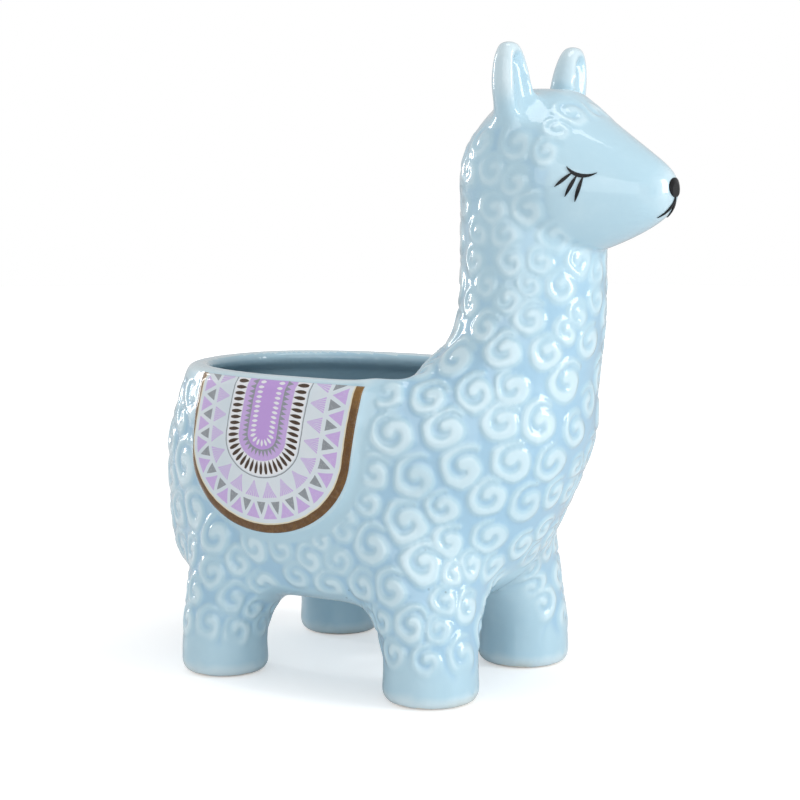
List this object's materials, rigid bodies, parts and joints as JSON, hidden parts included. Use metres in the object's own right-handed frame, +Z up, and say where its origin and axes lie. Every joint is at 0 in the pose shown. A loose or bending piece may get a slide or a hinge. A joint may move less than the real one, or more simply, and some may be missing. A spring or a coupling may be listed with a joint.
{
  "type": "animal shaped planter",
  "caption": "Glazed ceramic planter in the shape of a standing llama: open pot in its back, upright neck and head, stubby legs, printed blanket on each flank.",
  "frame": {"origin": "middle of the bounding box, on the ground under the feet", "axes": "+X the way the animal faces, +Y its left, +Z up"},
  "size_m": [0.1534, 0.0812, 0.1708],
  "materials": {
    "glaze": "gloss",
    "transfer": "gloss",
    "enamel": "gloss"
  },
  "bodies": {
    "root": {"body": "glaze", "ear_left": "glaze", "ear_right": "glaze", "blanket_left": "transfer", "blanket_right": "transfer", "lashes_left": "enamel", "lashes_right": "enamel", "nose": "enamel", "mouth": "enamel"}
  },
  "joints": []
}
